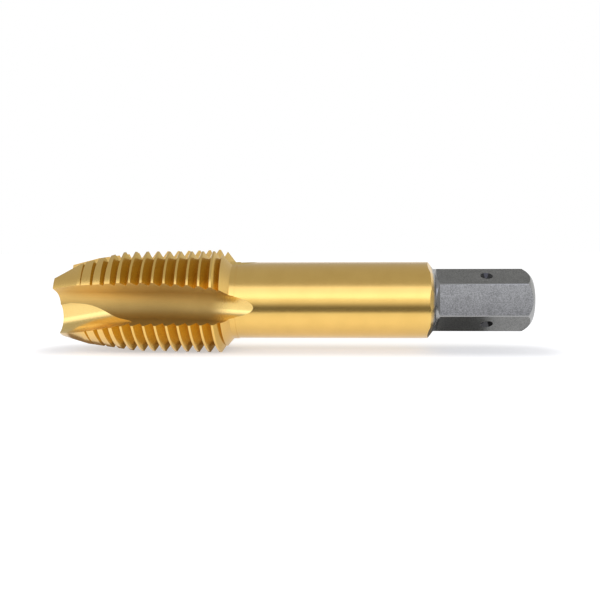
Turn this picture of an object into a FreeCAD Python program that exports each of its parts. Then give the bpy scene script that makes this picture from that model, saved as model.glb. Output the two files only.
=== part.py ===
"""Spiral-point machine tap M39 x 4, right-hand, with four straight flutes and a hexagonal drive.

The tap lies along X with its cutting tip at -X and its drive at +X. It rests on two lands, one on
each side of the flute that points straight down. Sizes are in millimetres.
"""

import FreeCAD
import Part

import math
import os

# Thread
MAJOR_DIAMETER = 39.0
PITCH = 4.0
FLANK_ANGLE = 60.0
THREAD_DEPTH = 2.8
THREAD_START = 0.25

# Stations along the axis, measured from the tip
OVERALL_LENGTH = 170.0
LEAD_BREAK = 9.6
LEAD_LENGTH = 24.0
THREAD_END = 58.5
COLLAR_END = 64.5
SHANK_END = 133.2

# Diameters. The two of the lead are those at the cutting edges
TIP_DIAMETER = 29.2
LEAD_BREAK_DIAMETER = 34.8
COLLAR_DIAMETER = 28.5
SHANK_DIAMETER = 28.0
THREAD_END_ANGLE = 52.0
SHANK_END_ANGLE = 52.0

# Flutes: straight, with a raked cutting face and a rounded heel side
FLUTE_COUNT = 4
CORE_DIAMETER = 14.0
CUTTING_EDGE_ANGLE = 16.2
RAKE_ANGLE = 10.8
HEEL_ANGLE = 29.2
HEEL_WALL_LEAN = 32.0
FLUTE_WHEEL_RADIUS = 134.0
FLUTE_RUNOUT_END = 71.2

# Lead: each land is ground about an axis set off by this much, so that it drops towards its heel
LEAD_RELIEF = 0.9

# Spiral point: an inclined trough along each cutting face
POINT_LENGTH = 31.0
POINT_TROUGH_RADIUS = 6.5
POINT_TROUGH_HEIGHT = 12.1
POINT_TROUGH_OFFSET = 3.85
POINT_RISE_ANGLE = 6.9
POINT_SWEEP_ANGLE = 10.8

# Hexagonal drive
HEX_ACROSS_FLATS = 20.0
HEX_CORNER_DIAMETER = 22.8
HEX_RAMP_ANGLE = 45.0
HEX_END_DIAMETER = 18.2
HEX_END_CROWN_RADIUS = 14.0
HEX_ROLL = 4.8
HEX_SIDES = 6
DIMPLE_DIAMETER = 4.4
DIMPLE_ANGLE = 90.0
DIMPLE_BOTTOM = 1.6
DIMPLE_FROM_END = 16.1
DIMPLE_COUNT = 3

# Centre holes, drilled and countersunk at 60 degrees
TIP_CENTRE_DRILL = 1.6
TIP_CENTRE_MOUTH = 3.4
DRIVE_CENTRE_DRILL = 3.15
DRIVE_CENTRE_MOUTH = 6.7
CENTRE_ANGLE = 60.0
CENTRE_DRILL_DEPTH_RATIO = 1.6

# The cutters run this far past the metal that they cut
OVERRUN = 3.0
SPARE_TURNS = 3
RUNOUT_SWING_RATIO = 1.5

# Angles round the axis are measured upwards from the front of the lying tap. While it is built it
# stands on its tip, its front faces this way, and a right-hand turn goes down the front
FRONT = -90.0

MAJOR_RADIUS = MAJOR_DIAMETER / 2
FLUTE_SPACING = 360 / FLUTE_COUNT
FLUTE_WIDTH_ANGLE = CUTTING_EDGE_ANGLE + HEEL_ANGLE
LAND_WIDTH_ANGLE = FLUTE_SPACING - FLUTE_WIDTH_ANGLE
DEEPEST_BELOW_MIDDLE = (HEEL_ANGLE - CUTTING_EDGE_ANGLE) / 2
AXIS = FreeCAD.Vector(0, 0, 1)
ORIGIN = FreeCAD.Vector(0, 0, 0)


def tangent(degrees):
    """Tangent of an angle in degrees."""
    return math.tan(math.radians(degrees))


def cosine(degrees):
    """Cosine of an angle in degrees."""
    return math.cos(math.radians(degrees))


def sine(degrees):
    """Sine of an angle in degrees."""
    return math.sin(math.radians(degrees))


def half_outline(points):
    """Run of straight edges through radius and station pairs."""
    return Part.makePolygon([FreeCAD.Vector(radius, 0, station) for radius, station in points]).Edges


def turned_blank():
    """The ground bar before the thread, the flutes and the hexagon are cut."""
    major = MAJOR_RADIUS
    collar = COLLAR_DIAMETER / 2
    shank = SHANK_DIAMETER / 2
    drive = HEX_CORNER_DIAMETER / 2
    end = HEX_END_DIAMETER / 2
    thread_chamfer = (major - collar) / tangent(THREAD_END_ANGLE)
    shank_chamfer = (shank - drive) / tangent(SHANK_END_ANGLE)
    crown = HEX_END_CROWN_RADIUS
    crown_centre = OVERALL_LENGTH - math.sqrt(crown ** 2 - end ** 2)
    crown_start = crown_centre + math.sqrt(crown ** 2 - drive ** 2)
    middle = (math.asin(end / crown) + math.asin(drive / crown)) / 2
    crown_arc = Part.Arc(
        FreeCAD.Vector(drive, 0, crown_start),
        FreeCAD.Vector(crown * math.sin(middle), 0, crown_centre + crown * math.cos(middle)),
        FreeCAD.Vector(end, 0, OVERALL_LENGTH),
    )
    bar = half_outline([
        (0, 0),
        (TIP_DIAMETER / 2, 0),
        (LEAD_BREAK_DIAMETER / 2, LEAD_BREAK),
        (major, LEAD_LENGTH),
        (major, THREAD_END),
        (collar, THREAD_END + thread_chamfer),
        (collar, COLLAR_END),
        (shank, COLLAR_END),
        (shank, SHANK_END),
        (drive, SHANK_END + shank_chamfer),
        (drive, crown_start),
    ])
    back = half_outline([(end, OVERALL_LENGTH), (0, OVERALL_LENGTH), (0, 0)])
    face = Part.Face(Part.Wire(bar + [crown_arc.toShape()] + back))
    return face.revolve(ORIGIN, AXIS, 360)


def groove_across_a_land():
    """Stretch of the right-hand thread groove that crosses one land: a vee, open past the crests.

    It starts inside the flute whose deepest line faces +X, and ends inside the next flute.
    """
    root = MAJOR_RADIUS - THREAD_DEPTH
    crest_flat = PITCH - 2 * THREAD_DEPTH * tangent(FLANK_ANGLE / 2)
    mouth = MAJOR_RADIUS + crest_flat / 2
    half_mouth = (mouth - root) * tangent(FLANK_ANGLE / 2)
    margin = FLUTE_WIDTH_ANGLE / 4
    start_angle = CUTTING_EDGE_ANGLE - margin
    sweep_angle = LAND_WIDTH_ANGLE + 2 * margin
    corners = [
        FreeCAD.Vector(root, 0, 0),
        FreeCAD.Vector(mouth, 0, -half_mouth),
        FreeCAD.Vector(mouth, 0, half_mouth),
    ]
    profile = Part.makePolygon(corners + corners[:1])
    helix = Part.makeHelix(PITCH, PITCH * sweep_angle / 360, root)
    groove = Part.Wire(helix.Edges).makePipeShell([profile], True, True)
    groove.rotate(ORIGIN, AXIS, start_angle)
    groove.translate(AXIS * (PITCH * start_angle / 360))
    return groove


def thread_grooves():
    """Every stretch of the thread groove, so that together they lie on one helix."""
    groove = groove_across_a_land()
    turns = math.ceil(THREAD_END / PITCH) + SPARE_TURNS
    grooves = []
    for index in range(FLUTE_COUNT):
        turn_angle = placing_angle(flute_angle(index))
        for turn in range(turns):
            copy = groove.copy()
            copy.rotate(ORIGIN, AXIS, turn_angle)
            copy.translate(AXIS * (THREAD_START + PITCH * (turn + turn_angle / 360)))
            grooves.append(copy)
    return grooves


def arc_radius(angle, lean):
    """Radius of the arc from a flute's deepest line, on the core, to one of its two side walls.

    The wall meets the major diameter at this angle from the deepest line, and leans outwards.
    """
    core = CORE_DIAMETER / 2
    side_at_core = MAJOR_RADIUS * sine(angle) - (MAJOR_RADIUS * cosine(angle) - core) * tangent(lean)
    return side_at_core * cosine(lean) / (1 - sine(lean))


def flute_section():
    """Face of one flute's cross-section: deepest line towards +X, cutting face on the +Y side.

    The root arc runs into the straight cutting face, and the heel arc into a straight heel wall. Both
    arcs touch the core at the deepest line.
    """
    core = CORE_DIAMETER / 2
    outside = MAJOR_RADIUS + OVERRUN
    face_lean = CUTTING_EDGE_ANGLE - RAKE_ANGLE
    root_radius = arc_radius(CUTTING_EDGE_ANGLE, face_lean)
    heel_radius = arc_radius(HEEL_ANGLE, HEEL_WALL_LEAN)

    def root_point(degrees):
        return FreeCAD.Vector(core + root_radius - root_radius * cosine(degrees), root_radius * sine(degrees), 0)

    def heel_point(degrees):
        return FreeCAD.Vector(core + heel_radius - heel_radius * cosine(degrees), -heel_radius * sine(degrees), 0)

    deepest = root_point(0)
    face_foot = root_point(90 - face_lean)
    wall_foot = heel_point(90 - HEEL_WALL_LEAN)
    face_outside = FreeCAD.Vector(outside, face_foot.y + (outside - face_foot.x) * tangent(face_lean), 0)
    wall_outside = FreeCAD.Vector(outside, wall_foot.y - (outside - wall_foot.x) * tangent(HEEL_WALL_LEAN), 0)
    edges = [
        Part.makeLine(face_outside, face_foot),
        Part.Arc(face_foot, root_point((90 - face_lean) / 2), deepest).toShape(),
        Part.Arc(deepest, heel_point((90 - HEEL_WALL_LEAN) / 2), wall_foot).toShape(),
        Part.makeLine(wall_foot, wall_outside),
        Part.makeLine(wall_outside, face_outside),
    ]
    return Part.Face(Part.Wire(edges))


def flute():
    """One flute: straight from the tip, then out of the shank along the grinding wheel's arc."""
    core = CORE_DIAMETER / 2
    rise = SHANK_DIAMETER / 2 - core
    runout_angle = math.acos(1 - rise / FLUTE_WHEEL_RADIUS)
    runout_start = FLUTE_RUNOUT_END - FLUTE_WHEEL_RADIUS * math.sin(runout_angle)
    section = flute_section()
    section.translate(AXIS * runout_start)
    straight = section.extrude(AXIS * -(runout_start + OVERRUN))
    wheel_centre = FreeCAD.Vector(core + FLUTE_WHEEL_RADIUS, 0, runout_start)
    swing = math.degrees(runout_angle) * RUNOUT_SWING_RATIO
    runout = section.revolve(wheel_centre, FreeCAD.Vector(0, 1, 0), swing)
    return straight.fuse(runout).removeSplitter()


def point_trough():
    """One trough of the spiral point, deepest at the tip and running out at the cutting edge."""
    direction = FreeCAD.Vector(tangent(POINT_RISE_ANGLE), -tangent(POINT_SWEEP_ANGLE), 1).normalize()
    start = FreeCAD.Vector(POINT_TROUGH_HEIGHT, POINT_TROUGH_OFFSET, 0)
    length = POINT_LENGTH + OVERRUN
    foot = start - direction * OVERRUN
    round_part = Part.makeCylinder(POINT_TROUGH_RADIUS, length, foot, direction)
    outward = FreeCAD.Vector(1, 0, 0)
    across = direction.cross(outward).normalize() * POINT_TROUGH_RADIUS
    upward = across.cross(direction).normalize() * MAJOR_DIAMETER
    corners = [foot - across, foot + across, foot + across + upward, foot - across + upward]
    slot = Part.Face(Part.makePolygon(corners + corners[:1])).extrude(direction * length)
    return round_part.fuse(slot).removeSplitter()


def lead_relief():
    """Metal ground off the lead of the land that follows the flute whose deepest line faces +X.

    The grinding axis is set off squarely to the land's cutting edge, away from the land. Whichever way
    the lead slopes, its cone is carried on until it is clear of the land.
    """
    tip_slope = (LEAD_BREAK_DIAMETER - TIP_DIAMETER) / 2 / LEAD_BREAK
    lead_slope = (MAJOR_DIAMETER - LEAD_BREAK_DIAMETER) / 2 / (LEAD_LENGTH - LEAD_BREAK)
    outside = MAJOR_RADIUS + OVERRUN
    corners = [
        FreeCAD.Vector(TIP_DIAMETER / 2 - OVERRUN * tip_slope, 0, -OVERRUN),
        FreeCAD.Vector(LEAD_BREAK_DIAMETER / 2, 0, LEAD_BREAK),
        FreeCAD.Vector(outside, 0, LEAD_LENGTH + OVERRUN / abs(lead_slope)),
        FreeCAD.Vector(outside, 0, -OVERRUN),
    ]
    margin = FLUTE_WIDTH_ANGLE / 4
    ring = Part.Face(Part.makePolygon(corners + corners[:1]))
    ring.rotate(ORIGIN, AXIS, CUTTING_EDGE_ANGLE - margin)
    set_off = FreeCAD.Vector(sine(CUTTING_EDGE_ANGLE), -cosine(CUTTING_EDGE_ANGLE), 0) * LEAD_RELIEF
    ring.translate(set_off)
    return ring.revolve(set_off, AXIS, LAND_WIDTH_ANGLE + 2 * margin)


def hexagon_flat():
    """Metal taken off for one flat, whose front end ramps down into the round."""
    apothem = HEX_ACROSS_FLATS / 2
    radius = HEX_CORNER_DIAMETER / 2
    outside = radius + OVERRUN
    shank_chamfer = (SHANK_DIAMETER - HEX_CORNER_DIAMETER) / 2 / tangent(SHANK_END_ANGLE)
    ramp_top = SHANK_END + shank_chamfer
    ramp_foot = ramp_top + (radius - apothem) / tangent(HEX_RAMP_ANGLE)
    ramp_outside = ramp_foot - (outside - apothem) / tangent(HEX_RAMP_ANGLE)
    corners = [
        FreeCAD.Vector(apothem, -radius, ramp_foot),
        FreeCAD.Vector(apothem, -radius, OVERALL_LENGTH + OVERRUN),
        FreeCAD.Vector(outside, -radius, OVERALL_LENGTH + OVERRUN),
        FreeCAD.Vector(outside, -radius, ramp_outside),
    ]
    return Part.Face(Part.makePolygon(corners + corners[:1])).extrude(FreeCAD.Vector(0, 2 * radius, 0))


def detent_dimple():
    """Conical dimple with a small flat bottom, sunk into one flat towards the axis."""
    apothem = HEX_ACROSS_FLATS / 2
    slope = tangent(DIMPLE_ANGLE / 2)
    depth = (DIMPLE_DIAMETER - DIMPLE_BOTTOM) / 2 / slope
    place = FreeCAD.Vector(apothem - depth, 0, OVERALL_LENGTH - DIMPLE_FROM_END)
    mouth_past_the_flat = DIMPLE_DIAMETER / 2 + OVERRUN * slope
    return Part.makeCone(DIMPLE_BOTTOM / 2, mouth_past_the_flat, depth + OVERRUN, place, FreeCAD.Vector(1, 0, 0))


def centre_hole(drill, mouth, station, inward):
    """Drilled centre with a conical mouth, at the tip or at the drive end."""
    cone_depth = (mouth - drill) / 2 / tangent(CENTRE_ANGLE / 2)
    drill_depth = cone_depth + CENTRE_DRILL_DEPTH_RATIO * drill
    direction = AXIS * inward
    place = AXIS * station
    cone = Part.makeCone(mouth / 2, drill / 2, cone_depth, place, direction)
    hole = Part.makeCylinder(drill / 2, drill_depth, place, direction)
    return cone.fuse(hole)


def flute_angle(index):
    """Angle of a flute's deepest line. Each flute's mouth is centred on the front, top, back or bottom."""
    return index * FLUTE_SPACING - DEEPEST_BELOW_MIDDLE


def placing_angle(degrees):
    """Right-hand turn that brings a cutter modelled towards +X to an angle round the lying tap."""
    return FRONT - degrees


def placed(cutter, degrees):
    """Copy of a cutter at an angle round the tap."""
    copy = cutter.copy()
    copy.rotate(ORIGIN, AXIS, placing_angle(degrees))
    return copy


def thread_tap():
    """The whole tap, standing on its tip along +Z."""
    flute_cutter = flute()
    trough_cutter = point_trough()
    relief_cutter = lead_relief()
    flute_angles = [flute_angle(index) for index in range(FLUTE_COUNT)]
    cutters = [placed(flute_cutter, angle) for angle in flute_angles]
    cutters += [placed(trough_cutter, angle) for angle in flute_angles]
    cutters += [placed(relief_cutter, angle) for angle in flute_angles]
    flat_cutter = hexagon_flat()
    side_spacing = 360 / HEX_SIDES
    cutters += [placed(flat_cutter, HEX_ROLL + side * side_spacing) for side in range(HEX_SIDES)]
    dimple_cutter = detent_dimple()
    dimpled_sides = range(1, HEX_SIDES, HEX_SIDES // DIMPLE_COUNT)
    cutters += [placed(dimple_cutter, HEX_ROLL + side * side_spacing) for side in dimpled_sides]
    cutters.append(centre_hole(TIP_CENTRE_DRILL, TIP_CENTRE_MOUTH, 0, 1))
    cutters.append(centre_hole(DRIVE_CENTRE_DRILL, DRIVE_CENTRE_MOUTH, OVERALL_LENGTH, -1))
    return turned_blank().cut(cutters).cut(thread_grooves())


def laid_down(shape):
    """Lay the tap along X on its two lowest lands, with the origin on the floor under its middle."""
    shape.rotate(ORIGIN, FreeCAD.Vector(0, 1, 0), 90)
    axis_height = -shape.optimalBoundingBox(False, False).ZMin
    shape.translate(FreeCAD.Vector(-OVERALL_LENGTH / 2, 0, axis_height))
    return shape


def main():
    """Build the tap and write it as one STEP file."""
    os.makedirs("parts", exist_ok=True)
    tap = laid_down(thread_tap())
    print("valid", tap.isValid(), "solids", len(tap.Solids), "faces", len(tap.Faces), "volume", round(tap.Volume))
    print("box", tap.optimalBoundingBox(False, False))
    tap.exportStep("parts/thread_tap.step")


main()
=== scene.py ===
"""Studio picture of a right-hand spiral-point machine tap, M39 x 4, with a hexagonal drive.

The tap is one bar of high-speed steel, so it is one piece. Its mesh is made the way the tap is ground:
a turned bar, less the centre holes, the hexagon's flats, the detent dimples, the flutes, the troughs of
the spiral point, the relief of the lead and the thread groove. It is built in millimetres, standing on
its tip along +Z with its front towards -Y, and then laid down along X on the two lands beside its lowest
flute.
"""

import logging
import math
from abc import ABC, abstractmethod
from dataclasses import dataclass, field, replace
from enum import Enum, IntEnum
from typing import ClassVar, Sequence

import bmesh
import bpy
import numpy as np
from mathutils import Euler, Matrix, Vector


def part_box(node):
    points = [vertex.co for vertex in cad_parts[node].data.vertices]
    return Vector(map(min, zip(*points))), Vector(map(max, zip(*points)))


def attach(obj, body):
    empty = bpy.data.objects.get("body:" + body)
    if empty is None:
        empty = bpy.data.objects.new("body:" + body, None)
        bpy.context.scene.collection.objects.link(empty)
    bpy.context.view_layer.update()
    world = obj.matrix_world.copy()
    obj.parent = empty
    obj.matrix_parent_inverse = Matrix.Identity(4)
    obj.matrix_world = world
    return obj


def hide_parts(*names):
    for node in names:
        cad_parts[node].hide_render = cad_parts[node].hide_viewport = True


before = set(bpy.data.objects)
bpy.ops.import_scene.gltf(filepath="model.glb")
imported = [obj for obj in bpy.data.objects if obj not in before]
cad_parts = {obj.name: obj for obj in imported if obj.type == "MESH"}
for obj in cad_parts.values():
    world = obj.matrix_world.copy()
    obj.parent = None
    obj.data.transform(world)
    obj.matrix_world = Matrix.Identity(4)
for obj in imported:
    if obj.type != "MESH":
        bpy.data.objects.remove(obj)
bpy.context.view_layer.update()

NODE = "thread_tap"
BODY = "root"
MM = 0.001
MICRON = 0.000001
ROUND_SEGMENTS = 240
ARC_STEP = math.radians(5.0)
MERGE_DISTANCE = 1e-4
LEAST_LENGTH = 1e-12
FRONT = math.radians(-90.0)
RADIAL = np.array([1.0, 1.0, 0.0])
AXIAL = np.array([0.0, 0.0, 1.0])

Colour = tuple[float, float, float, float]
WHITE: Colour = (1.0, 1.0, 1.0, 1.0)

log = logging.getLogger("thread_tap")


class Cut(IntEnum):
    """The tool that left a face. Its value is the face's material slot."""

    TURNED = 0
    THREAD = 1
    FLUTE = 2
    POINT = 3
    FLAT = 4
    DIMPLE = 5
    CENTRE = 6
    LEAD = 7


def tangent(degrees: float) -> float:
    """Tangent of an angle in degrees."""
    return math.tan(math.radians(degrees))


def cosine(degrees: float) -> float:
    """Cosine of an angle in degrees."""
    return math.cos(math.radians(degrees))


def sine(degrees: float) -> float:
    """Sine of an angle in degrees."""
    return math.sin(math.radians(degrees))


def placing_turn(degrees: float) -> float:
    """Turn in radians that brings a cutter modelled towards +X to an angle upwards from the front."""
    return FRONT - math.radians(degrees)


@dataclass(frozen=True)
class TapSizes:
    """Driving dimensions of the tap in millimetres and degrees. Stations are measured from the tip."""

    major_diameter: float = 39.0
    pitch: float = 4.0
    flank_angle: float = 60.0
    thread_depth: float = 2.8
    thread_start: float = 0.25

    overall_length: float = 170.0
    lead_break: float = 9.6
    lead_length: float = 24.0
    thread_end: float = 58.5
    collar_end: float = 64.5
    shank_end: float = 133.2

    tip_diameter: float = 29.2
    lead_break_diameter: float = 34.8
    collar_diameter: float = 28.5
    shank_diameter: float = 28.0
    thread_end_angle: float = 52.0
    shank_end_angle: float = 52.0

    flute_count: int = 4
    core_diameter: float = 14.0
    cutting_edge_angle: float = 16.2
    rake_angle: float = 10.8
    heel_angle: float = 29.2
    heel_wall_lean: float = 32.0
    wheel_radius: float = 134.0
    runout_end: float = 71.2
    lead_relief: float = 0.9

    point_length: float = 31.0
    trough_radius: float = 6.5
    trough_height: float = 12.1
    trough_offset: float = 3.85
    trough_rise: float = 6.9
    trough_sweep: float = 10.8
    trough_reach: float = 31.5

    hex_sides: int = 6
    hex_flats: float = 20.0
    hex_corners: float = 22.8
    hex_ramp_angle: float = 45.0
    hex_end_diameter: float = 18.2
    hex_crown_radius: float = 14.0
    hex_roll: float = 4.8
    dimple_diameter: float = 4.4
    dimple_angle: float = 90.0
    dimple_bottom: float = 1.6
    dimple_from_end: float = 16.1
    dimple_count: int = 3

    tip_centre_drill: float = 1.6
    tip_centre_mouth: float = 3.4
    drive_centre_drill: float = 3.15
    drive_centre_mouth: float = 6.7
    centre_angle: float = 60.0
    centre_depth_ratio: float = 1.6

    overrun: float = 3.0

    @property
    def major(self) -> float:
        """Major radius of the thread."""
        return self.major_diameter / 2

    @property
    def shank(self) -> float:
        """Radius of the shank."""
        return self.shank_diameter / 2

    @property
    def core(self) -> float:
        """Radius of the web that the flutes leave."""
        return self.core_diameter / 2

    @property
    def corner(self) -> float:
        """Radius of the hexagon's turned corners."""
        return self.hex_corners / 2

    @property
    def apothem(self) -> float:
        """Distance of the hexagon's flats from the axis."""
        return self.hex_flats / 2

    @property
    def drive_start(self) -> float:
        """Station where the chamfer behind the shank meets the hexagon's corners."""
        return self.shank_end + (self.shank_diameter - self.hex_corners) / 2 / tangent(self.shank_end_angle)

    @property
    def ramp_foot(self) -> float:
        """Station where the ramps end and the flats start."""
        return self.drive_start + (self.corner - self.apothem) / tangent(self.hex_ramp_angle)

    @property
    def flute_width(self) -> float:
        """Angle in degrees that a flute's mouth takes of the major diameter."""
        return self.cutting_edge_angle + self.heel_angle

    @property
    def land_width(self) -> float:
        """Angle in degrees that a land takes of the major diameter."""
        return 360 / self.flute_count - self.flute_width

    def flute_turns(self) -> list[float]:
        """Turns that bring a cutter modelled towards +X to each flute's deepest line."""
        below_middle = (self.heel_angle - self.cutting_edge_angle) / 2
        spacing = 360 / self.flute_count
        return [placing_turn(index * spacing - below_middle) for index in range(self.flute_count)]

    def flat_turns(self) -> list[float]:
        """Turns that bring a cutter modelled towards +X to each flat of the hexagon."""
        return [placing_turn(self.hex_roll + side * 360 / self.hex_sides) for side in range(self.hex_sides)]


def unit(vectors: np.ndarray) -> np.ndarray:
    """Vectors scaled to length one."""
    lengths = np.linalg.norm(vectors, axis=-1, keepdims=True)
    return vectors / np.maximum(lengths, LEAST_LENGTH)


def turned_about_axis(vectors: np.ndarray, angle: float) -> np.ndarray:
    """Turn points or directions about the tap's axis.

    Args:
        vectors: Rows of x, y, z.
        angle: Right-hand turn in radians.

    Returns:
        The turned rows.
    """
    out = np.array(vectors, float)
    x, y = vectors[..., 0], vectors[..., 1]
    out[..., 0] = x * math.cos(angle) - y * math.sin(angle)
    out[..., 1] = x * math.sin(angle) + y * math.cos(angle)
    return out


def constant_field(direction: Sequence[float], points: np.ndarray) -> np.ndarray:
    """The same direction at every point."""
    return np.broadcast_to(np.array(direction, float), points.shape)


def linked(name: str, data: bpy.types.ID) -> bpy.types.Object:
    """Make an object and link it to the scene."""
    made = bpy.data.objects.new(name, data)
    bpy.context.scene.collection.objects.link(made)
    return made


@dataclass(frozen=True)
class Solid:
    """Corners and faces of a closed solid, in millimetres. A lathed solid may have a place off the axis."""

    points: np.ndarray
    faces: list[list[int]]
    place: Matrix | None = None

    def turned(self, angle: float) -> "Solid":
        """The solid turned about the tap's axis, in radians."""
        if self.place is None:
            return replace(self, points=turned_about_axis(self.points, angle))
        return replace(self, place=Matrix.Rotation(angle, 4, "Z") @ self.place)

    def as_object(self, name: str, cut: Cut) -> bpy.types.Object:
        """Make a mesh object whose faces point outwards.

        Args:
            name: Name of the new object.
            cut: Material slot of the faces.

        Returns:
            The object, linked to the scene.
        """
        mesh = bpy.data.meshes.new(name)
        mesh.from_pydata(self.points.tolist(), [], self.faces)
        mesh.polygons.foreach_set("material_index", [int(cut)] * len(mesh.polygons))
        work = bmesh.new()
        work.from_mesh(mesh)
        bmesh.ops.recalc_face_normals(work, faces=work.faces)
        work.to_mesh(mesh)
        work.free()
        if self.place is not None:
            mesh.transform(self.place)
        return linked(name, mesh)


def lathed(outline: Sequence[tuple[float, float]], place: Matrix | None = None) -> Solid:
    """Turn an outline about the Z axis into a closed solid.

    Args:
        outline: Radius and station pairs that start and end on the axis.
        place: Moves the finished solid, where given.

    Returns:
        The solid.
    """
    points: list[tuple[float, float, float]] = []
    rows: list[list[int]] = []
    for radius, station in outline:
        start = len(points)
        if radius == 0:
            rows.append([start] * ROUND_SEGMENTS)
            points.append((0, 0, station))
            continue
        rows.append([start + step for step in range(ROUND_SEGMENTS)])
        for step in range(ROUND_SEGMENTS):
            angle = 2 * math.pi * step / ROUND_SEGMENTS
            points.append((radius * math.cos(angle), radius * math.sin(angle), station))
    faces = []
    for below, above in zip(rows, rows[1:]):
        for step in range(ROUND_SEGMENTS):
            following = (step + 1) % ROUND_SEGMENTS
            corners = [below[step], below[following], above[following], above[step]]
            faces.append(list(dict.fromkeys(corners)))
    return Solid(np.array(points, float), faces, place)


def swept(rings: Sequence[np.ndarray]) -> Solid:
    """Skin a row of equal closed rings and cap its two ends.

    Args:
        rings: Corner positions of each ring.

    Returns:
        The solid.
    """
    count = len(rings[0])
    points = np.concatenate(rings)
    faces = [list(range(count)), list(range(len(points) - count, len(points)))]
    for row in range(len(rings) - 1):
        for step in range(count):
            following = (step + 1) % count
            low, high = row * count, (row + 1) * count
            faces.append([low + step, low + following, high + following, high + step])
    return Solid(points, faces)


def arc_points(centre: Sequence[float], radius: float, start: float, end: float) -> list[tuple[float, float]]:
    """Points along an arc in a plane.

    Args:
        centre: Centre of the arc.
        radius: Its radius.
        start: Angle of the first point in radians.
        end: Angle of the last point in radians.

    Returns:
        The points, both ends included.
    """
    steps = max(2, math.ceil(abs(end - start) / ARC_STEP))
    angles = [start + (end - start) * step / steps for step in range(steps + 1)]
    return [(centre[0] + radius * math.cos(a), centre[1] + radius * math.sin(a)) for a in angles]


@dataclass
class Tool(ABC):
    """Something that shapes the tap. It is modelled once, and works at one or more turns about the axis."""

    sizes: TapSizes

    name: ClassVar[str]
    cut: ClassVar[Cut]

    def turns(self) -> list[float]:
        """Turns in radians at which the tool works."""
        return [0.0]

    @abstractmethod
    def models(self) -> list[Solid]:
        """Make the tool's solids before they are turned."""

    @abstractmethod
    def own_facings(self, points: np.ndarray) -> list[np.ndarray]:
        """Facings of the surfaces that the tool leaves before it is turned."""

    def solids(self) -> list[bpy.types.Object]:
        """Make the tool's solids at every turn."""
        placed = [model.turned(turn) for turn in self.turns() for model in self.models()]
        return [solid.as_object(f"{self.name}_{index}", self.cut) for index, solid in enumerate(placed)]

    def facings(self, points: np.ndarray) -> list[np.ndarray]:
        """Directions out of the metal that each surface of the tool would have at the points.

        Args:
            points: Rows of x, y, z.

        Returns:
            One array of directions for each surface at each turn.
        """
        found = []
        for turn in self.turns():
            local = turned_about_axis(points, -turn)
            found += [turned_about_axis(facing, turn) for facing in self.own_facings(local)]
        return found


class FluteTool(Tool):
    """A tool that works once in each flute, or once on the land that follows it."""

    def turns(self) -> list[float]:
        """Turns of the flutes."""
        return self.sizes.flute_turns()


class TurnedBar(Tool):
    """The bar as it comes from the lathe and the cylindrical grinder."""

    name = "bar"
    cut = Cut.TURNED

    @property
    def crown_centre(self) -> float:
        """Station of the centre of the drive end's spherical edge."""
        s = self.sizes
        return s.overall_length - math.sqrt(s.hex_crown_radius ** 2 - (s.hex_end_diameter / 2) ** 2)

    def outline(self) -> list[tuple[float, float]]:
        """Half outline from the tip to the drive end, as radius and station pairs."""
        s = self.sizes
        collar = s.collar_diameter / 2
        first = math.acos(s.corner / s.hex_crown_radius)
        last = math.acos(s.hex_end_diameter / 2 / s.hex_crown_radius)
        return [
            (0, 0),
            (s.tip_diameter / 2, 0),
            (s.lead_break_diameter / 2, s.lead_break),
            (s.major, s.lead_length),
            (s.major, s.thread_end),
            (collar, s.thread_end + (s.major - collar) / tangent(s.thread_end_angle)),
            (collar, s.collar_end),
            (s.shank, s.collar_end),
            (s.shank, s.shank_end),
            (s.corner, s.drive_start),
            *arc_points((0, self.crown_centre), s.hex_crown_radius, first, last),
            (0, s.overall_length),
        ]

    def models(self) -> list[Solid]:
        """Make the bar."""
        return [lathed(self.outline())]

    def own_facings(self, points: np.ndarray) -> list[np.ndarray]:
        """Facings of every cone, cylinder and plane of the outline, and of the crowned end."""
        radial = unit(points * RADIAL)
        outline = self.outline()
        found = []
        for (radius, station), (next_radius, next_station) in zip(outline, outline[1:]):
            out = next_station - station
            up = radius - next_radius
            if out or up:
                found.append(unit(radial * out + AXIAL * up))
        found.append(unit(points - AXIAL * self.crown_centre))
        return found


@dataclass
class ThreadGroove(Tool):
    """One long right-hand groove: a vee, open past the crests."""

    segments_per_turn: int = 192
    start_turn: float = -1.5
    end_turn: float = 16.5
    least_radius: float = 1.0
    name = "thread_groove"
    cut = Cut.THREAD

    @property
    def slope(self) -> float:
        """Half width that the groove gains for each millimetre of radius."""
        return tangent(self.sizes.flank_angle / 2)

    def models(self) -> list[Solid]:
        """Make the groove as a helical bar of triangular section."""
        s = self.sizes
        root = s.major - s.thread_depth
        crest_flat = s.pitch - 2 * s.thread_depth * self.slope
        mouth = s.major + crest_flat / 2
        half_mouth = (mouth - root) * self.slope
        section = [(root, 0.0), (mouth, -half_mouth), (mouth, half_mouth)]
        rings = []
        steps = round((self.end_turn - self.start_turn) * self.segments_per_turn)
        for step in range(steps + 1):
            turn = self.start_turn + step / self.segments_per_turn
            angle = 2 * math.pi * turn
            middle = s.thread_start + s.pitch * turn
            ring = [(r * math.cos(angle), r * math.sin(angle), middle + z) for r, z in section]
            rings.append(np.array(ring))
        return [swept(rings)]

    def own_facings(self, points: np.ndarray) -> list[np.ndarray]:
        """Facings of the upper and of the lower flank."""
        radial = unit(points * RADIAL)
        around = np.stack([-radial[:, 1], radial[:, 0], np.zeros(len(points))], axis=1)
        radius = np.linalg.norm(points[:, :2], axis=1, keepdims=True)
        climb = self.sizes.pitch / (2 * math.pi * np.maximum(radius, self.least_radius))
        tilt = around * climb - AXIAL
        return [unit(radial * self.slope + tilt), unit(radial * self.slope - tilt)]


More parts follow.
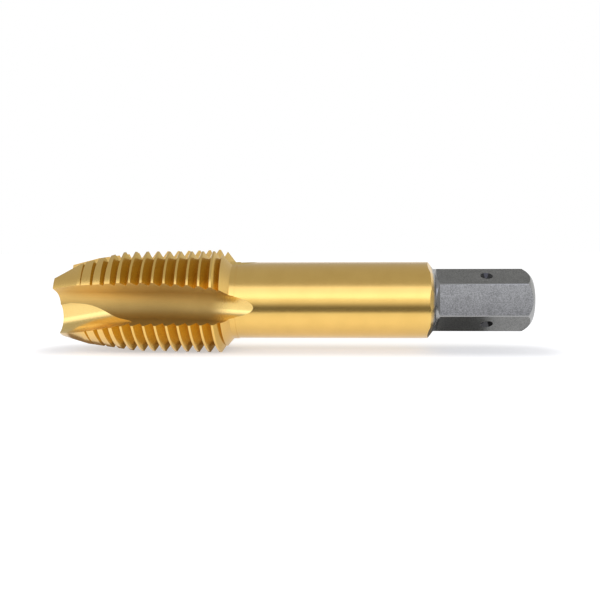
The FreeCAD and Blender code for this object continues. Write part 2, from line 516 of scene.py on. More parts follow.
@dataclass
class Flutes(FluteTool):
    """The flutes: straight from the tip, then out of the shank along the grinding wheel's arc."""

    runout_rings: int = 44
    swing_ratio: float = 1.5
    name = "flute"
    cut = Cut.FLUTE

    @property
    def face_lean(self) -> float:
        """Angle in degrees between the cutting face and the flute's middle plane."""
        return self.sizes.cutting_edge_angle - self.sizes.rake_angle

    def arc_radius(self, angle: float, lean: float) -> float:
        """Radius of the arc from the flute's deepest line, on the core, to one of its side walls.

        Args:
            angle: Where the wall meets the major diameter, in degrees from the deepest line.
            lean: Outward lean of the wall in degrees.

        Returns:
            The radius.
        """
        s = self.sizes
        side_at_core = s.major * sine(angle) - (s.major * cosine(angle) - s.core) * tangent(lean)
        return side_at_core * cosine(lean) / (1 - sine(lean))

    @property
    def root_radius(self) -> float:
        """Radius of the arc below the cutting face."""
        return self.arc_radius(self.sizes.cutting_edge_angle, self.face_lean)

    @property
    def heel_radius(self) -> float:
        """Radius of the arc below the heel wall."""
        return self.arc_radius(self.sizes.heel_angle, self.sizes.heel_wall_lean)

    @property
    def runout_angle(self) -> float:
        """Angle in radians that the wheel swings through while it leaves the shank."""
        return math.acos(1 - (self.sizes.shank - self.sizes.core) / self.sizes.wheel_radius)

    @property
    def runout_start(self) -> float:
        """Station where the flute starts to rise."""
        return self.sizes.runout_end - self.sizes.wheel_radius * math.sin(self.runout_angle)

    @property
    def wheel_centre(self) -> float:
        """Distance of the grinding wheel's centre from the axis."""
        return self.sizes.core + self.sizes.wheel_radius

    def section(self) -> list[tuple[float, float, float]]:
        """Cross-section of one flute, deepest line towards +X and cutting face on the +Y side."""
        s = self.sizes
        outside = s.major + s.overrun
        face_foot = math.radians(90 + self.face_lean)
        wall_foot = math.radians(270 - s.heel_wall_lean)
        root = arc_points((s.core + self.root_radius, 0), self.root_radius, face_foot, math.pi)
        heel = arc_points((s.core + self.heel_radius, 0), self.heel_radius, math.pi, wall_foot)
        face_outside = (outside, root[0][1] + (outside - root[0][0]) * tangent(self.face_lean))
        heel_outside = (outside, heel[-1][1] - (outside - heel[-1][0]) * tangent(s.heel_wall_lean))
        return [(x, y, 0.0) for x, y in [face_outside, *root, *heel[1:], heel_outside]]

    def models(self) -> list[Solid]:
        """Make the cutter of one flute."""
        section = np.array(self.section())
        reach = section[:, 0] - self.wheel_centre
        rings = [section - AXIAL * self.sizes.overrun]
        for step in range(self.runout_rings + 1):
            swing = self.runout_angle * self.swing_ratio * step / self.runout_rings
            ring = section.copy()
            ring[:, 0] = self.wheel_centre + reach * math.cos(swing)
            ring[:, 2] = self.runout_start - reach * math.sin(swing)
            rings.append(ring)
        return [swept(rings)]

    def own_facings(self, points: np.ndarray) -> list[np.ndarray]:
        """Facings of the cutting face, root arc, heel arc and heel wall, tilted along the wheel's arc."""
        s = self.sizes
        along = np.maximum(points[:, 2] - self.runout_start, 0.0)
        inward = self.wheel_centre - points[:, 0]
        swing = np.arctan2(along, inward)
        height = self.wheel_centre - np.hypot(inward, along)
        flat = np.stack([height, points[:, 1], np.zeros(len(points))], axis=1)
        found = [
            constant_field((sine(self.face_lean), -cosine(self.face_lean), 0.0), points),
            unit(np.array([s.core + self.root_radius, 0.0, 0.0]) - flat),
            unit(np.array([s.core + self.heel_radius, 0.0, 0.0]) - flat),
            constant_field((sine(s.heel_wall_lean), cosine(s.heel_wall_lean), 0.0), points),
        ]
        return [np.stack([x * np.cos(swing), y, -x * np.sin(swing)], axis=1)
                for x, y in ((facing[:, 0], facing[:, 1]) for facing in found)]


class SpiralPoint(FluteTool):
    """The inclined trough along each cutting face, which throws the chips forward."""

    name = "trough"
    cut = Cut.POINT

    @property
    def direction(self) -> Vector:
        """Direction of a trough's axis, from the tip towards the cutting edge."""
        return Vector((tangent(self.sizes.trough_rise), -tangent(self.sizes.trough_sweep), 1)).normalized()

    @property
    def across(self) -> Vector:
        """Sideways direction of a trough."""
        return self.direction.cross(Vector((1, 0, 0))).normalized()

    @property
    def start(self) -> Vector:
        """Point where a trough's axis passes the tip."""
        return Vector((self.sizes.trough_height, self.sizes.trough_offset, 0))

    def models(self) -> list[Solid]:
        """Make one round-bottomed slot, which stops short of the heel."""
        s = self.sizes
        upward = self.across.cross(self.direction)
        foot = self.start - self.direction * s.overrun
        heel_side = math.radians(270 - s.trough_reach)
        outline = arc_points((0, 0), s.trough_radius, heel_side, 2 * math.pi)
        outline = [(outline[0][0], s.major_diameter), *outline, (s.trough_radius, s.major_diameter)]
        ring = np.array([foot + self.across * side + upward * height for side, height in outline])
        return [swept([ring, ring + np.array(self.direction * (s.point_length + s.overrun))])]

    def own_facings(self, points: np.ndarray) -> list[np.ndarray]:
        """Facings of the round bottom and of the two sides."""
        direction = np.array(self.direction)
        across = np.array(self.across)
        offset = points - np.array(self.start)
        from_axis = offset - np.outer(offset @ direction, direction)
        return [unit(-from_axis), constant_field(across, points), constant_field(-across, points)]


@dataclass
class LeadRelief(FluteTool):
    """Grinding of the lead, about an axis set off from each land so that the land drops to its heel."""

    rings: int = 48
    name = "relief"
    cut = Cut.LEAD

    @property
    def slopes(self) -> tuple[float, float]:
        """Radius gained for each millimetre of length, on the tip's cone and on the lead's cone."""
        s = self.sizes
        tip = (s.lead_break_diameter - s.tip_diameter) / 2 / s.lead_break
        lead = (s.major_diameter - s.lead_break_diameter) / 2 / (s.lead_length - s.lead_break)
        return tip, lead

    @property
    def set_off(self) -> np.ndarray:
        """Place of the grinding axis for the land that follows the flute facing +X."""
        s = self.sizes
        return np.array([sine(s.cutting_edge_angle), -cosine(s.cutting_edge_angle), 0.0]) * s.lead_relief

    def models(self) -> list[Solid]:
        """Make the cutter of one land."""
        s = self.sizes
        tip_slope, lead_slope = self.slopes
        outside = s.major + s.overrun
        profile = np.array([
            (s.tip_diameter / 2 - s.overrun * tip_slope, 0.0, -s.overrun),
            (s.lead_break_diameter / 2, 0.0, s.lead_break),
            (outside, 0.0, s.lead_length + s.overrun / lead_slope),
            (outside, 0.0, -s.overrun),
        ])
        margin = s.flute_width / 4
        start = math.radians(s.cutting_edge_angle - margin)
        sweep = math.radians(s.land_width + 2 * margin)
        return [swept([turned_about_axis(profile, start + sweep * step / self.rings) + self.set_off
                       for step in range(self.rings + 1)])]

    def own_facings(self, points: np.ndarray) -> list[np.ndarray]:
        """Facings of the tip's cone and of the lead's cone."""
        radial = unit((points - self.set_off) * RADIAL)
        return [unit(radial - AXIAL * slope) for slope in self.slopes]


class HexFlats(Tool):
    """The six flats of the drive, each with a ramp down from the round."""

    name = "hex_flat"
    cut = Cut.FLAT

    def turns(self) -> list[float]:
        """Turns of the flats."""
        return self.sizes.flat_turns()

    def models(self) -> list[Solid]:
        """Make the wedge of one flat."""
        s = self.sizes
        outside = s.corner + s.overrun
        ramp_outside = s.ramp_foot - (outside - s.apothem) / tangent(s.hex_ramp_angle)
        end = s.overall_length + s.overrun
        profile = [(s.apothem, s.ramp_foot), (s.apothem, end), (outside, end), (outside, ramp_outside)]
        return [swept([np.array([(height, side, station) for height, station in profile])
                       for side in (-s.corner, s.corner)])]

    def own_facings(self, points: np.ndarray) -> list[np.ndarray]:
        """Facings of the flat and of its ramp."""
        ramp = (cosine(self.sizes.hex_ramp_angle), 0.0, sine(self.sizes.hex_ramp_angle))
        return [constant_field(facing, points) for facing in ((1.0, 0.0, 0.0), ramp)]


class DetentDimples(Tool):
    """Conical dimples with a flat bottom on every other flat, for a ball catch."""

    name = "dimple"
    cut = Cut.DIMPLE

    @property
    def slope(self) -> float:
        """Radius that the dimple gains for each millimetre of height."""
        return tangent(self.sizes.dimple_angle / 2)

    @property
    def station(self) -> float:
        """Station of the dimples' middles."""
        return self.sizes.overall_length - self.sizes.dimple_from_end

    def turns(self) -> list[float]:
        """Turns of the flats that have a dimple."""
        return self.sizes.flat_turns()[1::self.sizes.hex_sides // self.sizes.dimple_count]

    def models(self) -> list[Solid]:
        """Make the cutter of one dimple."""
        s = self.sizes
        bottom = s.dimple_bottom / 2
        depth = (s.dimple_diameter - s.dimple_bottom) / 2 / self.slope
        top = depth + s.overrun
        outline = [(0, 0), (bottom, 0), (bottom + top * self.slope, top), (0, top)]
        place = Matrix.Translation((s.apothem - depth, 0, self.station))
        return [lathed(outline, place @ Matrix.Rotation(math.pi / 2, 4, "Y"))]

    def own_facings(self, points: np.ndarray) -> list[np.ndarray]:
        """Facings of the cone and of its flat bottom."""
        inward = unit((AXIAL * self.station - points) * np.array([0.0, 1.0, 1.0]))
        cone = unit(inward + np.array([self.slope, 0.0, 0.0]))
        return [cone, constant_field((1.0, 0.0, 0.0), points)]


class CentreHoles(Tool):
    """The machining centres in both ends: a drilled hole under a conical mouth."""

    name = "centre"
    cut = Cut.CENTRE

    @property
    def slope(self) -> float:
        """Radius that a mouth gains for each millimetre of height."""
        return tangent(self.sizes.centre_angle / 2)

    def centre_drill(self, drill: float, mouth: float, station: float, outward: int) -> Solid:
        """Make one centre drill, carried on past the mouth.

        Args:
            drill: Diameter of the drilled hole.
            mouth: Diameter of the conical mouth.
            station: Station of the end face.
            outward: One where the end faces upwards, and minus one where it faces downwards.

        Returns:
            The cutter.
        """
        drilled = self.sizes.centre_depth_ratio * drill
        depth = drilled + (mouth - drill) / 2 / self.slope
        past = self.sizes.overrun
        top = depth + past
        wide = mouth / 2 + past * self.slope
        outline = [(0, 0), (drill / 2, 0), (drill / 2, drilled), (wide, top), (0, top)]
        turn = Matrix.Rotation(0.0 if outward > 0 else math.pi, 4, "X")
        return lathed(outline, Matrix.Translation((0, 0, station - outward * depth)) @ turn)

    def models(self) -> list[Solid]:
        """Make the cutters for the tip and for the drive end."""
        s = self.sizes
        return [self.centre_drill(s.tip_centre_drill, s.tip_centre_mouth, 0.0, -1),
                self.centre_drill(s.drive_centre_drill, s.drive_centre_mouth, s.overall_length, 1)]

    def own_facings(self, points: np.ndarray) -> list[np.ndarray]:
        """Facings of the holes, of the cones and of the flat bottoms."""
        inward = unit(-points * RADIAL)
        cones = [unit(inward + AXIAL * slope) for slope in (self.slope, -self.slope)]
        return [inward, *cones, constant_field(AXIAL, points), constant_field(-AXIAL, points)]


class Nodes:
    """Node tree of one material or world, with short calls that add and join nodes."""

    def __init__(self, tree: bpy.types.NodeTree) -> None:
        """Empty the tree.

        Args:
            tree: The node tree to fill.
        """
        self.tree = tree
        tree.nodes.clear()

    def add(self, kind: str, inputs: dict | None = None, **settings: object) -> bpy.types.Node:
        """Add a node.

        Args:
            kind: Type name of the node.
            inputs: Values or sockets for its inputs, by name or number.
            **settings: Properties of the node itself.

        Returns:
            The node.
        """
        node = self.tree.nodes.new(kind)
        for name, value in settings.items():
            setattr(node, name, value)
        for name, value in (inputs or {}).items():
            self.join(value, node.inputs[name])
        return node

    def join(self, value: object, socket: bpy.types.NodeSocket) -> None:
        """Link a socket to an input, or set the input's own value."""
        if isinstance(value, bpy.types.NodeSocket):
            self.tree.links.new(value, socket)
        else:
            socket.default_value = value

    def place(self) -> bpy.types.NodeSocket:
        """The shaded point, in the object's own coordinates."""
        return self.add("ShaderNodeTexCoord").outputs["Object"]

    def split(self, vector: object) -> list[bpy.types.NodeSocket]:
        """X, Y and Z of a vector."""
        return list(self.add("ShaderNodeSeparateXYZ", {0: vector}).outputs)

    def math(self, operation: str, *values: object) -> bpy.types.NodeSocket:
        """Result of a Math node."""
        return self.add("ShaderNodeMath", dict(enumerate(values)), operation=operation).outputs[0]

    def ramp(self, value: object, low: float, high: float, start: object = 0.0,
             end: object = 1.0) -> bpy.types.NodeSocket:
        """Smooth step between two values.

        Args:
            value: The input.
            low: Input at which the result is start.
            high: Input at which the result is end.
            start: Result at low.
            end: Result at high.

        Returns:
            The result socket.
        """
        inputs = {"Value": value, "From Min": low, "From Max": high, "To Min": start, "To Max": end}
        node = self.add("ShaderNodeMapRange", inputs, interpolation_type="SMOOTHSTEP")
        return node.outputs["Result"]

    def noise(self, vector: object, scale: float, detail: float,
              roughness: float = 0.5) -> bpy.types.NodeSocket:
        """Value of a noise texture, about 0 to 1."""
        inputs = {"Vector": vector, "Scale": scale, "Detail": detail, "Roughness": roughness}
        return self.add("ShaderNodeTexNoise", inputs).outputs["Fac"]

    def blend(self, share: object, first: object, second: object) -> bpy.types.NodeSocket:
        """Mix two colours."""
        return self.add("ShaderNodeMix", {"Factor": share, 6: first, 7: second}, data_type="RGBA").outputs[2]

    def mixed(self, share: object, first: object, second: object) -> bpy.types.NodeSocket:
        """Mix two shaders."""
        return self.add("ShaderNodeMixShader", {0: share, 1: first, 2: second}).outputs[0]

    def glow(self, colour: Colour, strength: object) -> bpy.types.NodeSocket:
        """Shader that gives off light."""
        return self.add("ShaderNodeEmission", {"Color": colour, "Strength": strength}).outputs[0]

    def finish(self, surface: object, kind: str = "ShaderNodeOutputMaterial") -> None:
        """Join the tree's last shader to its output."""
        self.add(kind, {"Surface": surface})


def new_material(name: str) -> tuple[bpy.types.Material, Nodes]:
    """Make a material, and give it with its empty node tree."""
    material = bpy.data.materials.new(name)
    material.use_nodes = True
    return material, Nodes(material.node_tree)


class Grain(Enum):
    """Which way a surface's fine lines run."""

    AROUND = "around"
    ALONG = "along"
    NONE = "none"


@dataclass(frozen=True)
class Finish:
    """A surface finish of the tap.

    Colours are linear. Sizes are in micrometres.
    """

    colour: Colour
    deep_colour: Colour
    roughness: float
    roughness_spread: float
    grain: Grain = Grain.AROUND
    line_width: float = 90.0
    line_depth: float = 0.6
    speckle_size: float = 250.0
    speckle_depth: float = 0.6
    gloss: float = 0.0
    cloud_share: float = 0.45

    noise_range: ClassVar[tuple[float, float]] = (0.3, 0.7)
    noise_detail: ClassVar[float] = 3.0
    cloud_detail: ClassVar[float] = 2.0
    cloud_speckles: ClassVar[float] = 30.0
    speckle_roughness: ClassVar[float] = 0.6
    line_roughness: ClassVar[float] = 0.65
    lines_per_radian: ClassVar[float] = 1.6
    line_stretch: ClassVar[float] = 60.0

    def surface(self, nodes: Nodes, axis_height: float) -> bpy.types.NodeSocket:
        """Add the finish to a material.

        Args:
            nodes: The material's node tree.
            axis_height: Height of the tap's axis above the floor, in metres.

        Returns:
            The shader's output socket.
        """
        place = nodes.place()
        size = self.speckle_size * MICRON
        lines = self.lines(nodes, axis_height)
        speckle = nodes.noise(place, 1 / size, self.noise_detail, self.speckle_roughness)
        cloud = nodes.noise(place, 1 / (size * self.cloud_speckles), self.cloud_detail)
        clouds = nodes.math("MULTIPLY", cloud, self.cloud_share)
        tone = nodes.math("MULTIPLY_ADD", lines, 1 - self.cloud_share, clouds)
        colour = nodes.blend(nodes.ramp(tone, *self.noise_range), self.deep_colour, self.colour)
        texture = nodes.math("MULTIPLY_ADD", speckle, 0.5, nodes.math("MULTIPLY", lines, 0.5))
        roughness = nodes.ramp(texture, *self.noise_range, self.roughness - self.roughness_spread,
                               self.roughness + self.roughness_spread)
        line_bump = nodes.add("ShaderNodeBump", {
            "Height": lines,
            "Strength": 1.0,
            "Distance": self.line_depth * MICRON,
        })
        bump = nodes.add("ShaderNodeBump", {
            "Height": speckle,
            "Strength": 1.0,
            "Distance": self.speckle_depth * MICRON,
            "Normal": line_bump.outputs[0],
        })
        return nodes.add("ShaderNodeBsdfPrincipled", {
            "Base Color": colour,
            "Metallic": 1.0,
            "Roughness": roughness,
            "Normal": bump.outputs[0],
            "Coat Weight": self.gloss,
            "Coat Roughness": self.roughness,
        }).outputs[0]

    def lines(self, nodes: Nodes, axis_height: float) -> bpy.types.NodeSocket:
        """Noise drawn out into fine lines.

        Args:
            nodes: The material's node tree.
            axis_height: Height of the tap's axis above the floor, in metres.

        Returns:
            The lines' value, about 0 to 1.
        """
        x, y, z = nodes.split(nodes.place())
        width = self.line_width * MICRON
        if self.grain is Grain.AROUND:
            turn = nodes.math("ARCTAN2", nodes.math("SUBTRACT", z, axis_height), y)
            parts = [nodes.math("DIVIDE", x, width), nodes.math("MULTIPLY", turn, self.lines_per_radian)]
        else:
            length = width * self.line_stretch if self.grain is Grain.ALONG else width
            pairs = ((x, length), (y, width), (z, width))
            parts = [nodes.math("DIVIDE", value, size) for value, size in pairs]
        vector = nodes.add("ShaderNodeCombineXYZ", dict(enumerate(parts))).outputs[0]
        return nodes.noise(vector, 1.0, self.noise_detail, self.line_roughness)


GROUND_COAT = Finish((0.86, 0.555, 0.135, 1.0), (0.80, 0.505, 0.112, 1.0), roughness=0.24,
                     roughness_spread=0.03, gloss=1.0)
# Coat of the thread, painted darker than the shank's coat to stand for the shade in the thread grooves.
THREAD_COAT_WITH_PAINTED_SHADE = Finish((0.72, 0.46, 0.085, 1.0), (0.64, 0.40, 0.07, 1.0), roughness=0.24,
                     roughness_spread=0.04, gloss=0.5)
POINT_COAT = Finish((0.90, 0.635, 0.20, 1.0), (0.84, 0.58, 0.165, 1.0), roughness=0.26,
                    roughness_spread=0.03, grain=Grain.ALONG, line_width=120.0, speckle_depth=0.4, gloss=1.0)
FLUTE_COAT = Finish((0.84, 0.575, 0.185, 1.0), (0.72, 0.485, 0.145, 1.0), roughness=0.60,
                    roughness_spread=0.05, grain=Grain.ALONG, line_width=200.0, line_depth=4.0,
                    speckle_size=400.0, speckle_depth=8.0, gloss=0.4)
# A darker copy of the flute coat, which paints shade on each flute's side towards its cutting edge.
PAINTED_SHADE_COAT = replace(FLUTE_COAT, colour=(0.36, 0.24, 0.065, 1.0), deep_colour=(0.29, 0.19, 0.048, 1.0))
BLASTED = Finish((0.36, 0.36, 0.345, 1.0), (0.16, 0.16, 0.154, 1.0), roughness=0.42, roughness_spread=0.08,
                 grain=Grain.NONE, line_width=420.0, line_depth=9.0, speckle_size=160.0, speckle_depth=11.0,
                 cloud_share=0.12)
BRIGHT = Finish((0.38, 0.38, 0.375, 1.0), (0.31, 0.31, 0.305, 1.0), roughness=0.24, roughness_spread=0.04,
                line_depth=1.0, speckle_depth=1.0)
# Near-black steel for the dimples, whose dark colour paints the shade inside these small recesses.
DIMPLE_PAINTED_SHADE = Finish((0.075, 0.075, 0.078, 1.0), (0.05, 0.05, 0.052, 1.0), roughness=0.14, roughness_spread=0.03,
                 grain=Grain.NONE, line_width=420.0, line_depth=1.0, speckle_depth=1.0)


@dataclass
class TapMaterials:
    """The materials of the tap's faces. The coating stops behind the shank, where bare steel begins."""

    sizes: TapSizes
    axis_height: float
    fade_start: float = 0.9
    fade_length: float = 1.1
    ragged_size: float = 0.0011
    ragged_depth: float = 0.0008
    ragged_detail: float = 4.0
    polish_start: float = 0.93
    ramp_margin: float = 0.1
    # Angles in degrees over which the flutes' painted shade fades out.
    painted_shade_start: float = -26.0
    painted_shade_end: float = 19.0

    def station(self, value: float) -> float:
        """X on the laid-down tap, in metres, of a station in millimetres from the tip."""
        return (value - self.sizes.overall_length / 2) * MM

    def bare_share(self, nodes: Nodes) -> bpy.types.NodeSocket:
        """Share of bare steel, which grows over a short ragged stretch behind the shank."""
        place = nodes.place()
        wander = nodes.noise(place, 1 / self.ragged_size, self.ragged_detail)
        ragged = nodes.math("MULTIPLY_ADD", wander, self.ragged_depth, nodes.split(place)[0])
        start = self.station(self.sizes.shank_end + self.fade_start)
        return nodes.ramp(ragged, start, start + self.fade_length * MM)

    def blasted_share(self, nodes: Nodes) -> bpy.types.NodeSocket:
        """Share of the blasted finish, which starts at the foot of the hexagon's ramps."""
        foot = self.sizes.ramp_foot
        x = nodes.split(nodes.place())[0]
        return nodes.ramp(x, self.station(foot - self.ramp_margin), self.station(foot + self.ramp_margin))

    def painted_shade_share(self, nodes: Nodes) -> bpy.types.NodeSocket:
        """Share of the painted shade, a darker copy of the flute coat, on each flute's side towards its
        cutting edge.
        """
        _, y, z = nodes.split(nodes.place())
        above = nodes.math("SUBTRACT", z, self.axis_height)
        upwards = nodes.math("ARCTAN2", above, nodes.math("MULTIPLY", y, -1.0))
        half = math.pi / self.sizes.flute_count
        local = nodes.math("WRAP", upwards, half, -half)
        return nodes.ramp(local, math.radians(self.painted_shade_start), math.radians(self.painted_shade_end), 1.0, 0.0)

    def polished_share(self, nodes: Nodes) -> bpy.types.NodeSocket:
        """Share of the smoother finish where the flutes run out of the shank."""
        s = self.sizes
        x = nodes.split(nodes.place())[0]
        return nodes.ramp(x, self.station(s.thread_end * self.polish_start), self.station(s.collar_end))

    def coated(self, nodes: Nodes, cut: Cut) -> bpy.types.NodeSocket:
        """Shader of the coated surface that a tool left."""
        height = self.axis_height
        # The thread's darker coat colour paints the shade of its grooves.
        if cut is Cut.THREAD:
            return THREAD_COAT_WITH_PAINTED_SHADE.surface(nodes, height)
        if cut is Cut.POINT:
            return POINT_COAT.surface(nodes, height)
        if cut is Cut.FLUTE:
            # The flute coat is blended with its darker copy, painted shade, on the side towards the cutting
            # edge.
            plain, shaded = FLUTE_COAT.surface(nodes, height), PAINTED_SHADE_COAT.surface(nodes, height)
            flute_with_painted_shade = nodes.mixed(self.painted_shade_share(nodes), plain, shaded)
            return nodes.mixed(self.polished_share(nodes), flute_with_painted_shade, POINT_COAT.surface(nodes, height))
        return GROUND_COAT.surface(nodes, height)

    def bare(self, nodes: Nodes, cut: Cut) -> bpy.types.NodeSocket:
        """Shader of the bare steel that a tool left on the drive."""
        bright = BRIGHT.surface(nodes, self.axis_height)
        if cut is not Cut.FLAT:
            return bright
        return nodes.mixed(self.blasted_share(nodes), bright, BLASTED.surface(nodes, self.axis_height))

    def material(self, cut: Cut) -> bpy.types.Material:
        """Material of the faces that one tool left.

        Args:
            cut: The tool.

        Returns:
            The material.
        """
        material, nodes = new_material(f"{cut.name.lower()}_surface")
        # The dimples take the near-black finish, which paints the shade in them.
        if cut is Cut.DIMPLE:
            shader = DIMPLE_PAINTED_SHADE.surface(nodes, self.axis_height)
        elif cut in (Cut.TURNED, Cut.FLAT, Cut.CENTRE):
            shader = nodes.mixed(self.bare_share(nodes), self.coated(nodes, cut), self.bare(nodes, cut))
        else:
            shader = self.coated(nodes, cut)
        nodes.finish(shader)
        return material

    def for_cuts(self) -> list[bpy.types.Material]:
        """Materials in the order of the Cut values."""
        return [self.material(cut) for cut in Cut]


@dataclass
class ThreadTap:
    """The whole tap: the bar and the tools that cut it."""

    sizes: TapSizes = field(default_factory=TapSizes)
    lying_limit: float = 0.5

    @property
    def axis_height(self) -> float:
        """Height of the tap's axis above the floor in millimetres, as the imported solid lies."""
        low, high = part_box(NODE)
        return (high.z - (high.y - low.y) / 2) / MM

    def tools(self) -> list[Tool]:
        """The tools that cut the bar, in the order of use."""
        order = (CentreHoles, HexFlats, DetentDimples, Flutes, SpiralPoint, LeadRelief, ThreadGroove)
        return [tool(self.sizes) for tool in order]

    def build(self) -> bpy.types.Object:
        """Cut the tap, lay it down, shade it and dress it.

        Returns:
            The finished piece.
        """
        bar = TurnedBar(self.sizes)
        shape = bar.solids()[0]
        for material in TapMaterials(self.sizes, self.axis_height * MM).for_cuts():
            shape.data.materials.append(material)
        tools = self.tools()
        cutters = [solid for tool in tools for solid in tool.solids()]
        mesh = self.cut(shape, cutters)
        for spare in [shape, *cutters]:
            bpy.data.objects.remove(spare)
        self.lay_down(mesh, self.corner_normals(mesh, [bar, *tools]))
        piece = linked("tap", mesh)
        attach(piece, BODY)
        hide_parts(NODE)
        return piece

    def cut(self, shape: bpy.types.Object, cutters: list[bpy.types.Object]) -> bpy.types.Mesh:
        """Take every cutter off the bar.

        Args:
            shape: The bar.
            cutters: Solids to take off.

        Returns:
            A new mesh of what is left.
        """
        for cutter in cutters:
            modifier = shape.modifiers.new(cutter.name, "BOOLEAN")
            modifier.operation = "DIFFERENCE"
            modifier.solver = "EXACT"
            modifier.material_mode = "INDEX"
            modifier.object = cutter
        bpy.context.view_layer.update()
        depsgraph = bpy.context.evaluated_depsgraph_get()
        mesh = bpy.data.meshes.new_from_object(shape.evaluated_get(depsgraph))
        mesh.name = "tap"
        work = bmesh.new()
        work.from_mesh(mesh)
        bmesh.ops.remove_doubles(work, verts=work.verts, dist=MERGE_DISTANCE)
        bmesh.ops.dissolve_degenerate(work, edges=work.edges, dist=MERGE_DISTANCE)
        bmesh.ops.triangulate(work, faces=work.faces, quad_method="BEAUTY", ngon_method="BEAUTY")
        work.to_mesh(mesh)
        work.free()
        return mesh

    def corner_normals(self, mesh: bpy.types.Mesh, tools: list[Tool]) -> np.ndarray:
        """True facing of the surface at every face corner.

        Each face takes the surface of its own tool that faces as the face does.

        Args:
            mesh: The cut mesh, standing and in millimetres.
            tools: The bar and every tool.

        Returns:
            One direction for each corner of each face.
        """
        points = np.zeros(len(mesh.vertices) * 3)
        mesh.vertices.foreach_get("co", points)
        corners = np.zeros(len(mesh.loops), int)
        mesh.loops.foreach_get("vertex_index", corners)
        slots = np.zeros(len(mesh.polygons), int)
        mesh.polygons.foreach_get("material_index", slots)
        triangles = points.reshape(-1, 3)[corners.reshape(-1, 3)]
        first, second, third = np.moveaxis(triangles, 1, 0)
        face_normals = unit(np.cross(second - first, third - first))
        middles = triangles.mean(axis=1)
        result = np.repeat(face_normals[:, None, :], 3, axis=1)
        for tool in tools:
            mine = np.flatnonzero(slots == int(tool.cut))
            if not len(mine):
                continue
            match = np.einsum("sfc,fc->sf", np.stack(tool.facings(middles[mine])), face_normals[mine])
            at_corners = np.stack(tool.facings(triangles[mine].reshape(-1, 3))).reshape(-1, len(mine), 3, 3)
            result[mine] = at_corners[match.argmax(axis=0), np.arange(len(mine))]
        self.soften_corners(result, triangles, slots)
        return result.reshape(-1, 3)

    def soften_corners(self, normals: np.ndarray, triangles: np.ndarray, slots: np.ndarray) -> None:
        """Turn the normals on the hexagon's corner lands so that each land shades as a rounded edge.

        Args:
            normals: One direction for each corner of each face, changed in place.
            triangles: Corner positions of each face.
            slots: Material slot of each face.
        """
        s = self.sizes
        side = 360 / s.hex_sides
        half_land = side / 2 - math.degrees(math.acos(s.hex_flats / s.hex_corners))
        behind = triangles[:, :, 2].min(axis=1) > s.drive_start
        lying = np.abs(normals[:, :, 2]).max(axis=1) < self.lying_limit
        land = (slots == int(Cut.TURNED)) & behind & lying
        points = triangles[land]
        upwards = np.degrees(FRONT - np.arctan2(points[:, :, 1], points[:, :, 0]))
        middle = np.degrees(FRONT - np.arctan2(points[:, :, 1].mean(axis=1), points[:, :, 0].mean(axis=1)))
        first = s.hex_roll + side / 2
        corner = (np.round((middle - first) / side) * side + first)[:, None]
        offset = (upwards - corner + 180) % 360 - 180
        angle = FRONT - np.radians(corner + np.clip(offset / half_land, -1, 1) * side / 2)
        normals[land] = np.stack([np.cos(angle), np.sin(angle), np.zeros_like(angle)], axis=-1)

    def lay_down(self, mesh: bpy.types.Mesh, normals: np.ndarray) -> None:
        """Lay the standing mesh along X, in metres, and give it its normals.

        Args:
            mesh: The cut mesh.
            normals: One direction for each face corner, for the standing mesh.
        """
        turn = Matrix.Rotation(math.pi / 2, 4, "Y")
        shift = Matrix.Translation((-self.sizes.overall_length / 2, 0, self.axis_height))
        mesh.transform(Matrix.Scale(MM, 4) @ shift @ turn)
        turned = normals @ np.array(turn.to_3x3()).T
        mesh.polygons.foreach_set("use_smooth", np.ones(len(mesh.polygons), bool))
        mesh.normals_split_custom_set(turned.tolist())
        mesh.update()


@dataclass
class PhotoCamera:
    """The camera at the photograph's viewpoint: close to the tap, a little above it."""

    distance: float = 0.2360
    elevation: float = 4.8
    foot_x: float = 0.0183
    yaw: float = 2.0
    shift: float = -0.038
    lens: float = 38.4
    sensor: float = 36.0
    clip_start: float = 0.01

    def build(self, axis_height: float) -> bpy.types.Object:
        """Create the camera and make it the scene's own.

        Args:
            axis_height: Height of the tap's axis in metres.

        Returns:
            The camera.
        """
        data = bpy.data.cameras.new("photo_camera")
        data.sensor_fit = "HORIZONTAL"
        data.sensor_width = self.sensor
        data.lens = self.lens
        data.shift_x = self.shift
        data.clip_start = self.clip_start
        camera = linked("photo_camera", data)
        camera.location = (
            self.foot_x,
            -self.distance * cosine(self.elevation),
            axis_height + self.distance * sine(self.elevation),
        )
        level = Euler((math.radians(90 - self.elevation), 0, 0)).to_matrix()
        sideways = Matrix.Rotation(math.radians(self.yaw), 3, "Y")
        camera.rotation_euler = (level @ sideways).to_euler()
        bpy.context.scene.camera = camera
        return camera


def sheet(name: str, corners: Sequence[Sequence[float]]) -> tuple[bpy.types.Object, Nodes]:
    """Make a flat sheet that belongs to the studio.

    Args:
        name: Name of the sheet and of its material.
        corners: Its four corners, in metres.

    Returns:
        The sheet, and its material's empty node tree.
    """
    mesh = bpy.data.meshes.new(name)
    mesh.from_pydata(corners, [], [(0, 1, 2, 3)])
    made = linked(name, mesh)
    material, nodes = new_material(name)
    mesh.materials.append(material)
    return made, nodes


def level_corners(left: float, right: float, front: float, back: float,
                  height: float) -> list[tuple[float, float, float]]:
    """Corners of a sheet that lies level."""
    return [(left, front, height), (right, front, height), (right, back, height), (left, back, height)]


def card(name: str, corners: Sequence[Sequence[float]]) -> Nodes:
    """Make a card that only the metal's reflections see, and give its empty node tree."""
    made, nodes = sheet(name, corners)
    made.visible_camera = False
    made.visible_diffuse = False
    made.visible_shadow = False
    return nodes


